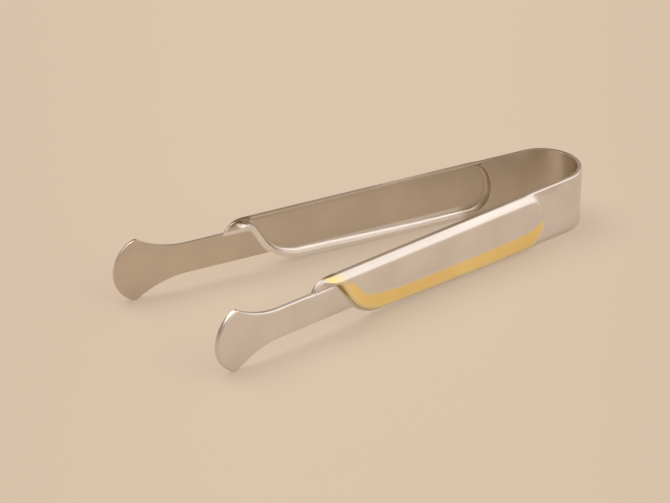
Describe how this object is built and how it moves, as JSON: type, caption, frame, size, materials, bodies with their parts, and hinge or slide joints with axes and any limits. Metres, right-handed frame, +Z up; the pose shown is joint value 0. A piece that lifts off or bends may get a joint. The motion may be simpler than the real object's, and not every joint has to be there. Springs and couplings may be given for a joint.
{
  "type": "sugar tongs",
  "caption": "U-shaped sprung tongs of pressed sheet steel with raised handle panels, gilded borders, narrow necks and fan-shaped jaws, squeezed to pick up sugar lumps.",
  "frame": {"origin": "centre of the footprint, on the table that the tongs stand on", "axes": "+X towards the bow, -X towards the jaws, +Z up from the table, arms at +Y and -Y"},
  "size_m": [0.11, 0.0404, 0.0146],
  "materials": {
    "polished_steel": "satin polished stainless steel",
    "gilding": "bright gold plating"
  },
  "bodies": {
    "spring": {"bow": "polished_steel"},
    "right": {"right_arm": "polished_steel", "right_gilding": "gilding"},
    "left": {"left_arm": "polished_steel", "left_gilding": "gilding"}
  },
  "joints": [
    {"name": "right_squeeze", "type": "hinge", "parent": "spring", "child": "right", "pos_m": [0.04732, -0.00805, 0.0067], "axis": [0, 0, -1], "range_deg": [-2, 10.6], "stiffness_Nm_per_rad": 3},
    {"name": "left_squeeze", "type": "hinge", "parent": "spring", "child": "left", "pos_m": [0.04732, 0.00805, 0.0067], "axis": [0, 0, 1], "range_deg": [-2, 10.6], "stiffness_Nm_per_rad": 3}
  ],
  "couplings": [
    {"joint": "left_squeeze", "follows": "right_squeeze", "ratio": 1}
  ]
}
